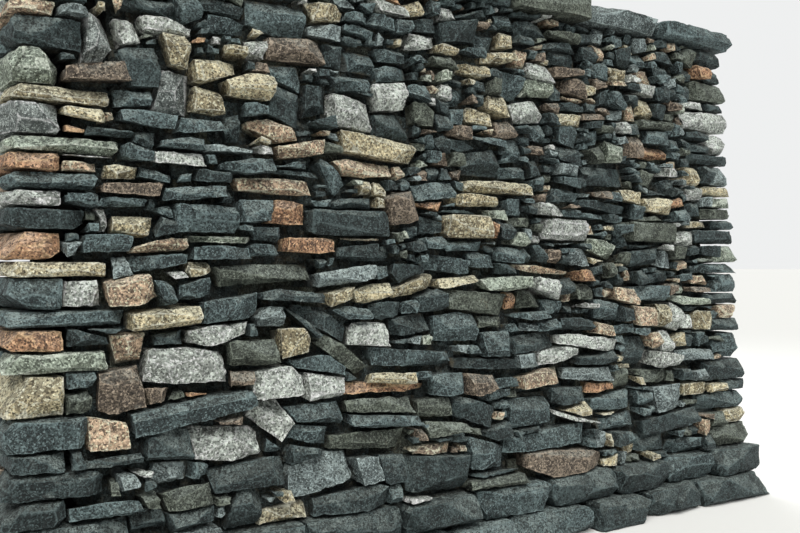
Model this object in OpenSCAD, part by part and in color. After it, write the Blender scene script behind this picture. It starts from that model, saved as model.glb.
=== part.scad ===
// Dry stone wall, free standing, with two battered faces and two cheek ends.
// It is laid without mortar: footing stones, two face leaves packed with hearting,
// through stones that tie the faces together, bonded cheek ends and a course of cope slabs.
// X runs along the wall, the front face looks towards -Y, and the origin is the middle of the base.

/* [Wall] */
// Length of the walling where it stands on its footing
wall_length = 3020; // [2600:20:3600]
// Height from the ground to the top of the highest cope slab
wall_height = 2000; // [1800:10:2300]
// Thickness of the walling where it stands on its footing
base_thickness = 740; // [680:10:840]
// Thickness of the walling under its cope slabs
head_thickness = 480; // [440:10:600]
// How far each end leans in between the footing and the cope slabs
end_lean = 40; // [10:5:80]
// Thickness of each face leaf, from its face to the hearting
leaf_thickness = 170; // [140:5:200]

/* [Footing] */
// Height of the footing stones
footing_height = 210; // [150:10:280]
// How far the footing stands out in front of each face
footing_step = 85; // [40:5:120]
// How far the footing stands out beyond each end
footing_end_step = 50; // [20:5:90]
// How far the footing stones of a face reach into the wall
footing_depth = 340; // [300:5:380]
// Length of the footing stone under each end
footing_end_length = 460; // [380:10:560]
// Number of footing stones along each face, in each of their courses
footing_count = 7; // [4:1:9]
// Courses in the footing
footing_courses = 2; // [1:1:2]
// How far a course of the footing is set back from the one below it
footing_set_back = 34; // [10:1:40]
// How far the upper stones along a face lap over the broad stone under each end
footing_lap = 120; // [60:10:180]

/* [Cheek ends] */
// Length of the tie stones, measured along the wall under the cope
tie_length = 130; // [110:5:170]
// Usual length of the runner stones, measured along the wall under the cope
runner_length = 240; // [220:10:340]
// Widest stone used between the runners of one course
middle_stone_width = 230; // [180:10:300]

/* [Through stones] */
// Height of the bed that the through stones lie on
through_level = 1065; // [900:5:1200]
// Thickness of the through stones
through_height = 85; // [70:5:130]
// Width of a through stone along the wall
through_width = 230; // [200:10:340]
// How far the through stones stand out from each face
through_step = 34; // [15:1:60]
// Number of through stones
through_count = 5; // [3:1:6]

/* [Cope] */
// Thickness of the thickest cope slab
cope_height = 85; // [70:5:140]
// How far the cope slabs overhang each face
cope_overhang = 60; // [20:5:100]
// How far the cope overhangs each end
cope_end_overhang = 45; // [15:5:80]
// Number of cope slabs
cope_count = 7; // [5:1:9]

/* [Laying] */
// Gap left between a stone and the bed it lies on
bed_gap = 0.3; // [0.2:0.1:0.5]
// Open joint between stones that stand side by side
side_gap = 5; // [3:1:10]
// Largest chip off the corners of a laid stone
corner_chip = 14; // [6:1:20]
// How much neighbouring stones of one course differ in length, as a share
length_spread = 0.22; // [0:0.02:0.3]
// How far a stone may lie back from the line of its face
face_spread = 12; // [0:1:18]

/* [Hidden] */

// Colours of the stone
dark_stone = [0.24, 0.27, 0.29];
blue_stone = [0.33, 0.37, 0.39];
pale_granite = [0.62, 0.58, 0.48];
pink_granite = [0.62, 0.44, 0.36];
earth = [0.19, 0.17, 0.14];

// Heights of the courses at the ends, upwards from the footing and from the through stones' bed.
// They are fitted to the height of the wall, and are laid in turn as runners and as ties.
lower_heights = [90, 68, 72, 50, 88, 114, 58, 62, 48, 85, 45, 80];
upper_heights = [60, 45, 48, 52, 45, 85, 48, 97, 87, 43, 85, 70, 75];

// Levels and lengths that several pieces share
cope_bed = wall_height - cope_height;
lean_height = cope_bed - footing_height;
footing_half_length = wall_length / 2 + footing_end_step;
footing_half_width = base_thickness / 2 + footing_step;
footing_end_x = footing_half_length - footing_end_length;
hearting_x = wall_length / 2 - end_lean - tie_length;
through_span = wall_length / 2 - end_lean - runner_length * (1 + length_spread);

// Numbers that give each corner of the wall its own runner stones
left_front = 41;
left_back = 47;
right_front = 73;
right_back = 83;

// Half the thickness of the walling at a height, and half that of its hearting
function face_y(z) = base_thickness / 2
    - (base_thickness - head_thickness) / 2 * (z - footing_height) / lean_height;
function core_y(z) = face_y(z) - leaf_thickness;

// Distance of each end from the middle of the wall at a height
function end_x(z) = wall_length / 2 - end_lean * (z - footing_height) / lean_height;

// An even-handed irregular value from -1 to 1 for the stone with this number
function uneven(number, set) = sin(137.5 * number + 71 * set + 40);

// Boundaries that share a stretch in the proportions of a list, or between unequal neighbours
function total(list, upto) = upto == 0 ? 0 : list[upto - 1] + total(list, upto - 1);
function fitted(low, high, list) =
    [for (k = [0:len(list)]) low + (high - low) * total(list, k) / total(list, len(list))];
function divide(low, high, count, set) =
    fitted(low, high, [for (k = [1:count]) 1 + length_spread * uneven(k, set)]);

// Levels of the beds from the footing to the through stones' bed, and from there to the cope
courses_below = len(lower_heights);
courses = courses_below + len(upper_heights);
lower_beds = fitted(footing_height, through_level, lower_heights);
upper_beds = fitted(through_level, cope_bed, upper_heights);
beds = [for (i = [0:courses]) i < courses_below ? lower_beds[i] : upper_beds[i - courses_below]];
function course_middle(i) = (beds[i] + beds[i + 1]) / 2;

// Courses that are laid as runners at the ends, and those that are laid as ties
runner_courses = [for (i = [0:courses - 1]) if (i % 2 == 0) i];
tie_courses = [for (i = [0:courses - 1]) if (i % 2 == 1) i];

// Inner end of the runner stone of a course at a corner
function runner_x(i, corner) =
    wall_length / 2 - end_lean - runner_length * (1 + length_spread * uneven(i, corner));

// Rectangle with a different small chip off each end of its sides
function chip(largest, number, set) = largest * (0.6 + 0.4 * uneven(number, set));
function chipped_outline(width, height, largest, set) = [
    [chip(largest, 1, set), 0], [width - chip(largest, 2, set), 0],
    [width, chip(largest, 3, set)], [width, height - chip(largest, 4, set)],
    [width - chip(largest, 5, set), height], [chip(largest, 6, set), height],
    [0, height - chip(largest, 7, set)], [0, chip(largest, 8, set)]
];

// Extrusion along the wall of an outline drawn in Y and Z
module along_wall(length) {
    rotate([90, 0, 90]) linear_extrude(height = length) children();
}

// Extrusion through the wall, towards +Y, of an outline drawn in X and Z
module through_wall(length) {
    translate([0, length, 0]) rotate([90, 0, 0]) linear_extrude(height = length) children();
}

// A roughly squared stone that fills the box between two corners, flat on its beds
module laid_stone(low, high, set, largest = corner_chip) {
    size = high - low;
    edge = min(largest, size.z / 4);
    translate(low) intersection() {
        linear_extrude(height = size.z)
            polygon(chipped_outline(size.x, size.y, 1.5 * largest, set));
        through_wall(size.y)
            polygon(chipped_outline(size.x, size.z, edge, set + 1));
        along_wall(size.x)
            polygon(chipped_outline(size.y, size.z, edge, set + 2));
    }
}

// Lowest level of a course of the footing, and how far its stones along the faces reach
function footing_bed(course) = footing_height * course / footing_courses + min(course, 1) * bed_gap;
function footing_row_end(course) = footing_end_x + min(course, 1) * footing_lap;

// Joints in a course of the footing: those of the upper course lie over the middles of the stones below
function footing_joints(course, set) = course == 0
    ? divide(-footing_end_x, footing_end_x, footing_count, set)
    : let (below = footing_joints(course - 1, set)) concat(
        [-footing_row_end(course)],
        [for (k = [1:len(below) - 1]) (below[k - 1] + below[k]) / 2],
        [footing_row_end(course)]);

// Two courses of footing stones along the back face: the front has its own set of joints
module footing_row(set) {
    for (course = [0:footing_courses - 1]) {
        row = set + 20 * course;
        joints = footing_joints(course, set);
        for (k = [1:len(joints) - 1]) {
            reach = footing_half_width - footing_set_back * course - face_spread * (1 + uneven(k, row));
            laid_stone(
                [joints[k - 1] + side_gap / 2, footing_half_width - footing_depth, footing_bed(course)],
                [joints[k] - side_gap / 2, reach, footing_bed(course + 1) - bed_gap],
                row + k, 2 * corner_chip);
        }
    }
}

module footing_front() {
    color(dark_stone) mirror([0, 1, 0]) footing_row(11);
}

module footing_back() {
    color(dark_stone) footing_row(17);
}

// Footing under the right end: one broad stone across the wall, with pairs of stones on it
module footing_end(set) {
    for (course = [0:footing_courses - 1]) {
        set_back = footing_set_back * course;
        half = footing_half_width - set_back;
        count = min(course, 1) + 1;
        joints = divide(-half, half, count, set + 20 * course);
        for (k = [1:count])
            laid_stone(
                [footing_row_end(course) + side_gap / 2, joints[k - 1] + (k - 1) * side_gap,
                    footing_bed(course)],
                [footing_half_length - set_back, joints[k], footing_bed(course + 1) - bed_gap],
                set + 20 * course + k, 2 * corner_chip);
    }
}

module footing_left() {
    color(blue_stone) mirror([1, 0, 0]) footing_end(23);
}

module footing_right() {
    color(blue_stone) footing_end(29);
}

// Packing of small stone between the leaves, narrower between the footing stones
module hearting_lower() {
    foot = footing_half_width - footing_depth - side_gap;
    core_foot = core_y(footing_height) - bed_gap;
    core_head = core_y(through_level) - bed_gap;
    shoulder = footing_height + bed_gap;
    color(earth) union() {
        for (course = [0:footing_courses - 1])
            translate([-footing_row_end(course), -foot, footing_bed(course)])
                cube([2 * footing_row_end(course), 2 * foot, shoulder - footing_bed(course)]);
        translate([-hearting_x, 0, 0]) along_wall(2 * hearting_x) polygon([
            [-core_foot, shoulder], [core_foot, shoulder],
            [core_head, through_level], [-core_head, through_level]
        ]);
    }
}

module hearting_upper() {
    core_foot = core_y(through_level) - bed_gap;
    core_head = core_y(cope_bed) - bed_gap;
    color(earth) difference() {
        translate([-hearting_x, 0, 0]) along_wall(2 * hearting_x) polygon([
            [-core_foot, through_level + bed_gap], [core_foot, through_level + bed_gap],
            [core_head, cope_bed], [-core_head, cope_bed]
        ]);
        through_pockets();
    }
}

// Outline of a leaf between two beds: each course is set back a little from the one below it
function leaf_outline(first, last) = concat(
    [for (i = [first:last], up = [0, 1])
        [face_y(course_middle(i)), beds[i + up] + (i + up == first ? bed_gap : 0)]],
    [[core_y(beds[last + 1]), beds[last + 1]], [core_y(beds[first]), beds[first] + bed_gap]]
);

// Room at the right end of the back face for the runner stones of these courses
module runner_pockets(first, last, corner) {
    for (i = runner_courses)
        if (i >= first && i <= last)
            translate([runner_x(i, corner), 0, beds[i]])
                cube([wall_length, base_thickness, beds[i + 1] + bed_gap - beds[i]]);
}

// The leaf of the back face, toothed at each end for the runner stones
module face_leaf(first, last, left_corner, right_corner) {
    difference() {
        translate([-hearting_x, 0, 0]) along_wall(2 * hearting_x) polygon(leaf_outline(first, last));
        mirror([1, 0, 0]) runner_pockets(first, last, left_corner);
        runner_pockets(first, last, right_corner);
    }
}

module front_face_lower() {
    color(blue_stone) mirror([0, 1, 0])
        face_leaf(0, courses_below - 1, left_front, right_front);
}

module front_face_upper() {
    color(blue_stone) difference() {
        mirror([0, 1, 0]) face_leaf(courses_below, courses - 1, left_front, right_front);
        through_pockets();
    }
}

module back_face_lower() {
    color(blue_stone) face_leaf(0, courses_below - 1, left_back, right_back);
}

module back_face_upper() {
    color(blue_stone) difference() {
        face_leaf(courses_below, courses - 1, left_back, right_back);
        through_pockets();
    }
}

// Tie stones lie across the whole thickness of the right end, with a course left between them
module end_ties(set) {
    for (i = tie_courses) {
        half = face_y(course_middle(i));
        laid_stone(
            [hearting_x + side_gap, -half, beds[i] + bed_gap],
            [end_x(course_middle(i)), half, beds[i + 1]],
            set + i);
    }
}

// Runner stones lie along the back face of the right end, between the ties
module end_runners(corner) {
    for (i = runner_courses)
        laid_stone(
            [runner_x(i, corner) + side_gap, core_y(beds[i]) + bed_gap, beds[i] + bed_gap],
            [end_x(course_middle(i)), face_y(course_middle(i)), beds[i + 1]],
            corner + i);
}

// Stones that close the end of the hearting between a front and a back runner
module end_middle_stones(set) {
    for (i = runner_courses) {
        half = core_y(beds[i]) - side_gap;
        joints = divide(-half, half, ceil(2 * half / middle_stone_width), set + i);
        for (k = [1:len(joints) - 1]) {
            back_set = face_spread * (1 + uneven(i + k, set));
            laid_stone(
                [hearting_x + side_gap, joints[k - 1] + side_gap / 2, beds[i] + bed_gap],
                [end_x(course_middle(i)) - back_set, joints[k] - side_gap / 2, beds[i + 1]],
                set + i + k);
        }
    }
}

module left_end_ties() {
    color(pale_granite) mirror([1, 0, 0]) end_ties(31);
}

module left_end_front_runners() {
    color(dark_stone) mirror([1, 0, 0]) mirror([0, 1, 0]) end_runners(left_front);
}

module left_end_back_runners() {
    color(dark_stone) mirror([1, 0, 0]) end_runners(left_back);
}

module left_end_middle_stones() {
    color(blue_stone) mirror([1, 0, 0]) end_middle_stones(59);
}

module right_end_ties() {
    color(pink_granite) end_ties(67);
}

module right_end_front_runners() {
    color(dark_stone) mirror([0, 1, 0]) end_runners(right_front);
}

module right_end_back_runners() {
    color(dark_stone) end_runners(right_back);
}

module right_end_middle_stones() {
    color(blue_stone) end_middle_stones(97);
}

// Place and width of each through stone, spread evenly between the cheek ends
function through_x(k) = through_span * (2 * k - 1 - through_count) / through_count;
function through_stone_width(k) = through_width * (1 + length_spread * uneven(k, 7));
function through_reach(k, set) =
    face_y(through_level) + through_step - face_spread * (1 + uneven(k, set));

module through_stone(k) {
    half = through_stone_width(k) / 2;
    color(k % 2 == 0 ? pale_granite : dark_stone) laid_stone(
        [through_x(k) - half, -through_reach(k, 8), through_level + bed_gap],
        [through_x(k) + half, through_reach(k, 9), through_level + through_height],
        102 + k);
}

// Room in the upper leaves and hearting for the through stones
module through_pockets() {
    for (k = [1:through_count])
        translate([through_x(k) - through_stone_width(k) / 2 - side_gap, -base_thickness, through_level])
            cube([through_stone_width(k) + 2 * side_gap, 2 * base_thickness, through_height + bed_gap]);
}

// Joints between the cope slabs, from end to end of the overhanging cope
cope_joints = divide(-end_x(cope_bed) - cope_end_overhang, end_x(cope_bed) + cope_end_overhang,
    cope_count, 13);

// A slab with a level bed, a sloping top and its own ragged outline
module cope_slab(k) {
    length = cope_joints[k] - cope_joints[k - 1] - side_gap;
    front = head_thickness / 2 + cope_overhang - face_spread * (1 + uneven(k, 14));
    back = head_thickness / 2 + cope_overhang - face_spread * (1 + uneven(k, 15));
    thin = 0.22 * (cope_height - bed_gap);
    left_height = cope_height - bed_gap - thin * (k % 2);
    right_height = cope_height - bed_gap - thin * (1 - k % 2);
    edge = corner_chip;
    color(k % 3 == 0 ? pale_granite : blue_stone)
        translate([cope_joints[k - 1] + side_gap / 2, -front, cope_bed + bed_gap]) intersection() {
            linear_extrude(height = cope_height)
                polygon(chipped_outline(length, front + back, 3 * edge, 110 + k));
            through_wall(front + back) polygon([
                [chip(edge, 1, k), 0], [length - chip(edge, 2, k), 0],
                [length, chip(edge, 3, k)], [length, right_height - edge],
                [length - chip(edge, 4, k), right_height], [chip(edge, 5, k), left_height],
                [0, left_height - edge], [0, chip(edge, 6, k)]
            ]);
            along_wall(length) polygon(chipped_outline(front + back, cope_height, edge, 120 + k));
        }
}

footing_front();
footing_back();
footing_left();
footing_right();
hearting_lower();
hearting_upper();
front_face_lower();
front_face_upper();
back_face_lower();
back_face_upper();
left_end_ties();
left_end_front_runners();
left_end_back_runners();
left_end_middle_stones();
right_end_ties();
right_end_front_runners();
right_end_back_runners();
right_end_middle_stones();
for (k = [1:through_count])
    through_stone(k);
for (k = [1:cope_count])
    cope_slab(k);
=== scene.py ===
"""Dry stone wall: rubble faces, cheek ends, through stones, footing and cope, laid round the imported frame.

Metres, in the frame's own axes: X along the wall, -Y towards the front, Z up. What the stones of this
wall are comes first, and each later part of the script starts with its own sizes.
"""
import math
import random

import bmesh
import bpy
import numpy as np
from bpy.props import (
    CollectionProperty, FloatProperty, FloatVectorProperty, IntProperty, PointerProperty, StringProperty)
from mathutils import Matrix, Vector, noise


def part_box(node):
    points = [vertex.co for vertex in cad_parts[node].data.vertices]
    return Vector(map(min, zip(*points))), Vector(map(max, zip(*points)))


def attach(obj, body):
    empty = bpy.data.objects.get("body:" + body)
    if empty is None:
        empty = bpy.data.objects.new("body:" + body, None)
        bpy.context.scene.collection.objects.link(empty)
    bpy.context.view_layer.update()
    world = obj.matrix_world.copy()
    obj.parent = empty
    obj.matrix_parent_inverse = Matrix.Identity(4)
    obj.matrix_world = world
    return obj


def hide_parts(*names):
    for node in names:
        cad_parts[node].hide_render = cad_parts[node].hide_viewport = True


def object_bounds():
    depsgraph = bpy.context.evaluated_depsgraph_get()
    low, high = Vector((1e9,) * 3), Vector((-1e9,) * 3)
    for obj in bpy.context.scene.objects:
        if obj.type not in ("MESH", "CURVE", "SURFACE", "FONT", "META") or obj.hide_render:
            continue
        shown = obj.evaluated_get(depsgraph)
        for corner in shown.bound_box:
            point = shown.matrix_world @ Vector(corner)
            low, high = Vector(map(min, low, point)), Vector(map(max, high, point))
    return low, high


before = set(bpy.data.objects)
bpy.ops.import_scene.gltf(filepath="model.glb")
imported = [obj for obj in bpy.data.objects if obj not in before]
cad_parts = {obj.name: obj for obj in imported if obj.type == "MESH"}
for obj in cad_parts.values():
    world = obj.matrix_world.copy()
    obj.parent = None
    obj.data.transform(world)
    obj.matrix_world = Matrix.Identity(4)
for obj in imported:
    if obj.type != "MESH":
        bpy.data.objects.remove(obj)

bl_info = {
    "name": "Dry stone wall",
    "version": (1, 0, 0),
    "blender": (4, 5, 0),
    "location": "View3D > Sidebar > Wall",
    "description": "Lays the rubble of a dry stone wall round its packed frame",
    "category": "Object",
}

CAD_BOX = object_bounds()

# The stones of the front face, seen from the front: kind and form, left and right edge, lower and
# upper edge in centimetres, and the turn in degrees where a stone doesn't lie level.
# Kinds are the keys of STONE_KINDS. Forms: > and < taper to one side, ^ to the top, v to the bottom,
# o is rounded, x is pointed at both sides, / and | lean.
MARKED_STONES = """
b> -139 -116 31 36, g -138 -122 34 38.5, g -124 -112 32 37, g -110 -95 30 37, d -120 -108 25 31.5,
d -110 -94 24 30, d> -130 -114.5 41.5 48, d> -114 -101 43 51.5, B -111.5 -101 37.5 43,
p -128 -119 47.5 57, w> -100 -78.5 41.5 51.5, w -84 -69 47 55 -35, d> -100 -71 32 41.5,
b -74.5 -56 43 49.5 -8, d -80 -59 40 43, b -68.5 -51 48 56 -5, g -58 -28 38 46 -5,
b -51 -24 44.5 50 -5, B -72 -48.5 28.5 39.5, B> -48.5 -39.5 29.5 37.5, d -44 -30 28 37.5,
co -79 -63.5 20 29.5, d -64.5 -37 21 29.5, d -90 -79 21 33, g -95 -87 29 34, g -51 -25 50 56,
p -25 -10 34.5 39 -4, d -30 -3 22 35 -8, g -24 -10 46 53, g -20 -6 41 46, b< -10 13 28 38 -13,
d -8 8.5 43 52 -15, b -1 13 47.5 54, d 4 16.5 37 43, b 15.5 36 40 51, b 7 51 29.5 38 4,
g -5 21 22 25.5, d -2 21 25.5 29, d 33 52.5 47 53, c> 41 54.5 42 47.5, w 34 62 37 43 -12,
rx 20 60 22 31, b 55 80 42 49, d 55 62 37 42, b 61 80 34 40, d 67 73 28 34, b 76 90 42 48,
Bo 90 106 40 49.5, d 82 114 32 39, d> 78 99 24 31 -5, b 92 117 21 28 -5, c 104 122 43 49.5 -5,
c 122 134 43.5 48, w 118 128 38 43, r -125.5 -113.5 57.5 69.5, b -118.5 -80 52.5 60,
r -112 -106.5 60 65.5, w^ -114 -90 62.5 74.5, d -139 -122 71.5 79 -8, p -124.5 -107 70 79,
d -109 -103.5 72 79, c -129 -98.5 79 85.5 3, w -101 -84 75 81 8, w -134 -125.5 84.5 93,
p -125 -110 86 94 12, b -110 -104.5 87 92, b -104 -95 86.5 93.5, b -97 -79 81 90 10,
d -79 -56 85.5 90.5 -4, c -60 -47.5 84.5 90, c -45.5 -31 86 92.5, B -84 -71 79 85 10,
d -72 -57 77 82 -45, d -66 -48 76 83 -25, co -74 -61 69 79.5, g -62 -40 66.5 72.5 -33,
w^ -49 -32.5 70.5 80, b -54.5 -41 80 86, g -92 -72.5 67.5 76.5, b -69 -54 64.5 69.5,
r -90 -82 60 67.5, w -84 -65 57.5 68, w -65.5 -50.5 56.5 64.5, o -50.5 -18.5 55 60 -3,
c -43 -27 60 63.5, g -58 -51 52 57, c -31 -15.5 87.5 93.5 12, c -12 5 90 95.5, G 5 26 89 93.5,
g -9 17 80.5 90, o 16 22.5 81 87, d -40 -29 80 86, d -22 -10.5 81.5 88, d -33 -17 74.5 81,
b -39.5 -34.5 75 81, b -16 4 71 81, g 4.5 14.5 75.5 80, b 4 17.5 66 75.5, b> -40 -7 64 74 -5,
b -10 -6.5 62 66.5, d -6.5 20 60 66, b -18.5 -3 54 61.5, r -4 7.5 54 61.5, b -24.5 -18.5 60 63,
b 9 21 54 59, B 17 30.5 60.5 65.5, g -24 -9 50.5 54.5, p 21 47 93 98, w 29.5 39 85.5 93,
g 21 33 82 88.5, d 39 50 87 93, b 20 34 77.5 81.5, b 31 44.5 79 86.5, b 30 40 73.5 78.5,
d 40 57.5 72.5 79, w 40 70 65.5 71.5 -8, d 17 40 66.5 73.5, w 31 50 61 67, p 20.5 42 53.5 60.5 6,
B 42.5 67 53.5 59.5, d 50 71.5 58.5 65, b 60 73 76 84.5, w 50 58 81.5 84, p 70 80 82.5 89,
b 68 80 71 75.5, p 60 68 71 74.5, do 76 89 57.5 69, g 67 79 50 57, g 33 53 51 53,
b> 83 100 83 90, p 80 93 73 81.5, c 90 99 72 82, w/ 99.5 110 71 82.5, w 110 117 71.5 78,
c 114 127 70.5 79, G 105 123 81 85 -2, d 120 137 79 82, p 118 128 89 94, r 114 128 85.5 89,
o 131 142 82 86, p 87 94 65 71, w< 91 101 64 71.5 -12, c 101 111 64 69.5, d 110 117 64 69,
b 117 121.5 64 69, w 89.5 106 56 62 -4, B 106 126.5 56 63.5, p 120 132 53.5 60, g 84 99 51 56,
g 99 106 51 55, d 102 114 50.5 55, B 115 128 50.5 54, d 92 104 89 95, b 108 118 91 95,
c 133 144.5 54 61, B -131.5 -117 94 100.5 6, b -119 -101 95.5 101, b -130 -116.5 100.5 106,
p -116.5 -102 101 105.5, c -100 -92.5 94 98, w -125 -122.5 105 113, b -130 -125.5 105 109,
c -122 -110 105.5 112, d -110 -96.5 103.5 110.5, b -135.5 -125.5 113 117.5, b -125 -112 113 116.5,
r -125 -108 116.5 120, b> -108.5 -90 111 120.5, p -136.5 -125 117.5 125.5, c -123.5 -114.5 120.5 125,
b -114 -103.5 120.5 124.5, w -110 -95 124 130 6, w^ -135 -121 125.5 131.5, o -140.5 -130 128.5 134.5,
b -120 -109.5 124.5 130, d -115 -109 129.5 134.5, b -108.5 -95.5 129.5 134.5, d -127 -116 129 136.5,
dx -98 -85 116.5 126, b -91 -72 124 129 8, B -95 -79 130 133, p -86 -59 118 124, bo -88.5 -74.5 110 119,
oo -74 -57.5 108 117, o -70 -52 100 108.5 3, G -97 -80 103.5 110, b -80 -69.5 104.5 111 6,
b -98 -81.5 98.5 103.5, b -81.5 -72.5 100 104.5, g -93 -60 91 99.5, B -64 -38.5 90.5 97 8,
p -73 -56 129.5 136.5, b -72 -63 126.5 131 18, b -72 -54 122.5 128.5 -7, b -59 -46 121.5 128.5 -52,
p -49 -30 125.5 130.5, p -49 -35 104.5 110, d -52 -38 112 120, d -52 -37 98.5 104,
c -49 -19.5 131 139.5, p -40 -26 126 132, bx -23 -4.5 118.5 125.5, c 0 29 122.5 128.5,
o -20 -11 115.5 120, r -32 -22 110 120, c -6 14.5 117 122.5, b -10 4.5 114 119, G 4.5 18.5 113 117.5,
w -11 -2.5 110 115, o -3 12 106.5 113, d -20 -10 108 113, b -19 -9 102 109, b -11 8 101.5 106.5,
b -19 0 95 101, b 0 13 95.5 101.5, b 13 25 97.5 104.5, d 0 16.5 130 138.5, b 17 30 129 134,
d 14 20 107 113, d -30 -19 92.5 98.5, w 32 46 112.5 120, g 21 31 111 115, G 20 27 104.5 109,
b 18 26 114 121, B 40.5 53 104.5 108, G 60 75 99.5 107.5, b 18 29 97 103, p 57 63 107 112,
b 55 68 114 117, b 44 55 126 130, b 42 55 121 125.5, d 58 82 127 136.5, d 53 82 118 122.5,
b 74 82 104 109, c 77 90 121.5 127.5 -6, c 88 106 118 125.5, o 105.5 114 121.5 126, g 90 102 129 136,
d 102 110 127 133, b 79 87 117 122, g 90 102 112 118.5, b 106 117 116 121 8, w 107 122 106 113 4,
c 119 133 112 118, c 128 142 105 110.5, d 92 104 106 111, p 82 90 107.5 111, d 80 98 97 104,
B 97 104 96 103, o 117.5 131 94.5 100, d 117 123 101 105, g 103 115 100 105,
d -139.5 -129.5 152.5 161.5, B -137 -125 163 168, s/ -131 -120 153 167 -10, w^ -120 -112 159.5 167.5,
r -136 -117 146.5 154, d -138 -130 145 149, b -125.5 -110 140.5 147, d -119 -106 147 159,
c -109 -98 153.5 163, w -111.5 -97 161 168, s -108.5 -97.5 140 154 -6, b -119 -103.5 135.5 141.5 -4,
d -118 -102 167.5 173, b -102 -94 168 175, c -138.5 -122.5 134.5 139.5, b -103 -89.5 134.5 140,
c -98 -82 151 159 12, c -88 -80 158 163.5, w -83 -73.5 160 166.5 8, c -88.5 -73.5 146 155 6,
c^ -97.5 -84 141 150, r -74 -53.5 159.5 168, b -80 -60.5 169 179.5, b -92.5 -80 166 171.5,
d -100 -81 171 176, c -60 -48 174 181, B -58.5 -47.5 169 175, b -72 -61.5 153 160.5,
d -75.5 -61.5 141.5 153, d -62 -53 144 154, d -68 -53 140 144.5, b -83 -74.5 141 145.5,
p -79.5 -65.5 133.5 141, d -88.5 -81.5 133.5 142, w -51 -35.5 141.5 151.5, b -48 -36.5 153 160,
b -46 -34 160 168, d -55 -45 160 168, b -46 -34 171.5 176, g -59 -49 133.5 136.5,
w -37.5 -22.5 148 158.5, b -34 -20.5 159 164.5, b -27 -13.5 153 159.5, b -33.5 -24.5 164.5 170,
w -21.5 -9.5 170 176.5, d -36.5 -22 140 148, g -20 -11 145 152, c 0 13 163.5 170, g -12 -1 165 169,
c 10 25 169.5 175, b 19 29 158 167.5, c 11 22 151 158.5, c 2.5 14.5 147 153, r 14 25 143 150,
b 4 20 140 144, d -5 5 137 141, w 31 44.5 166.5 173, G 30 43 159 165, w 23 37 149 158,
d 43 50 160 168, r 45 56 168.5 173, r 50 60 162 168.5, p 24 30 170 177, r 60 74 153.5 156.5,
G 68 76.5 138 145.5, r 32 39 138 142, d 44 58 173 179, p 62.5 68 160.5 163, r 67 74 166.5 170,
o 93 107 140 146, d 90 104 131 137.5, r 82 90 140 149, c 78 86 171 177, d 28 42 182 189,
d 26 34 178 183, b 17 25 183 189, c 18 27 174 182, d 40 56 176 182, g 43 58 183 187,
w -35 -22 181 185.5, c -24 -14 181 187, d -20 -12 177 182, w -9 0 183 187, d -8 8 175 184,
b 8 19 174 181.5, b -27 -18 174 180, b -37 -28 174 180, b -40 -33 180 183.5, d 0 14 184 188,
B -50 -43 180 183, b -45 -36 176 183, w -62 -56 179 181
"""

# Kinds of the corner stones at the left of the front face, course by course from the footing
FRONT_LEFT_COURSES = "ddddbcGobbcodwboGscGdpbwc"

# Kinds of the through stones' ends and of the cope slabs, from left to right
THROUGH_KINDS = "bdcwg"
COPE_KINDS = "bBwbgBb"

# Kinds that the footing stones and the plain stones behind the faces are picked from
FOOTING_KINDS = "ddbbdgdB"
BACKING_KINDS = "dddgb"

# How often each kind and form is used where the stones aren't marked
OTHER_KINDS = {"d": 34, "b": 24, "B": 8, "g": 9, "r": 5, "c": 7, "p": 4, "w": 5, "G": 3, "o": 1}
OTHER_FORMS = {"": 30, ">": 4, "<": 4, "^": 3, "v": 2, "x": 2, "/": 2, "|": 2}

# Kinds that go into the granite pieces of a face. The others go into its dolerite pieces.
GRANITES = "wcpoGs"


# Settings that a user can change

def a_length(name, description, default):
    """A size in metres, for a user to set."""
    return FloatProperty(name=name, description=description, default=default, unit="LENGTH")


def a_share(name, description, default):
    """A share from 0 to 1, for a user to set."""
    return FloatProperty(name=name, description=description, default=default, subtype="FACTOR")


def a_number(name, description, default):
    """A plain number, for a user to set."""
    return FloatProperty(name=name, description=description, default=default)


def a_colour(name, description, default):
    """A colour, for a user to set."""
    return FloatVectorProperty(name=name, description=description, default=default, subtype="COLOR")


class StoneKind(bpy.types.PropertyGroup):
    """Colours of one kind of stone, with its grain and how sharply it breaks."""

    title: StringProperty(name="Title", description="Name of the finish", default="stone")
    dark: a_colour("Dark", "Colour of shaded and fresh patches", (0.1, 0.1, 0.1))
    light: a_colour("Light", "Colour of weathered patches", (0.3, 0.3, 0.3))
    speck: a_colour("Speck", "Colour of the dark mineral grains", (0.1, 0.1, 0.1))
    grain: a_length("Grain", "Size of the mineral grains", 0.003)
    amount: a_share("Amount", "Contrast between the grains", 0.2)
    blotch: a_number("Blotch", "Contrast between blotches a few grains wide", 2.0)
    bands: a_share("Bands", "Strength of the bedding bands", 0.1)
    stain: a_share("Stain", "Share of the surface with ochre stain", 0.1)
    roundness: a_share("Roundness", "How much the arrises are worn", 0.2)


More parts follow.
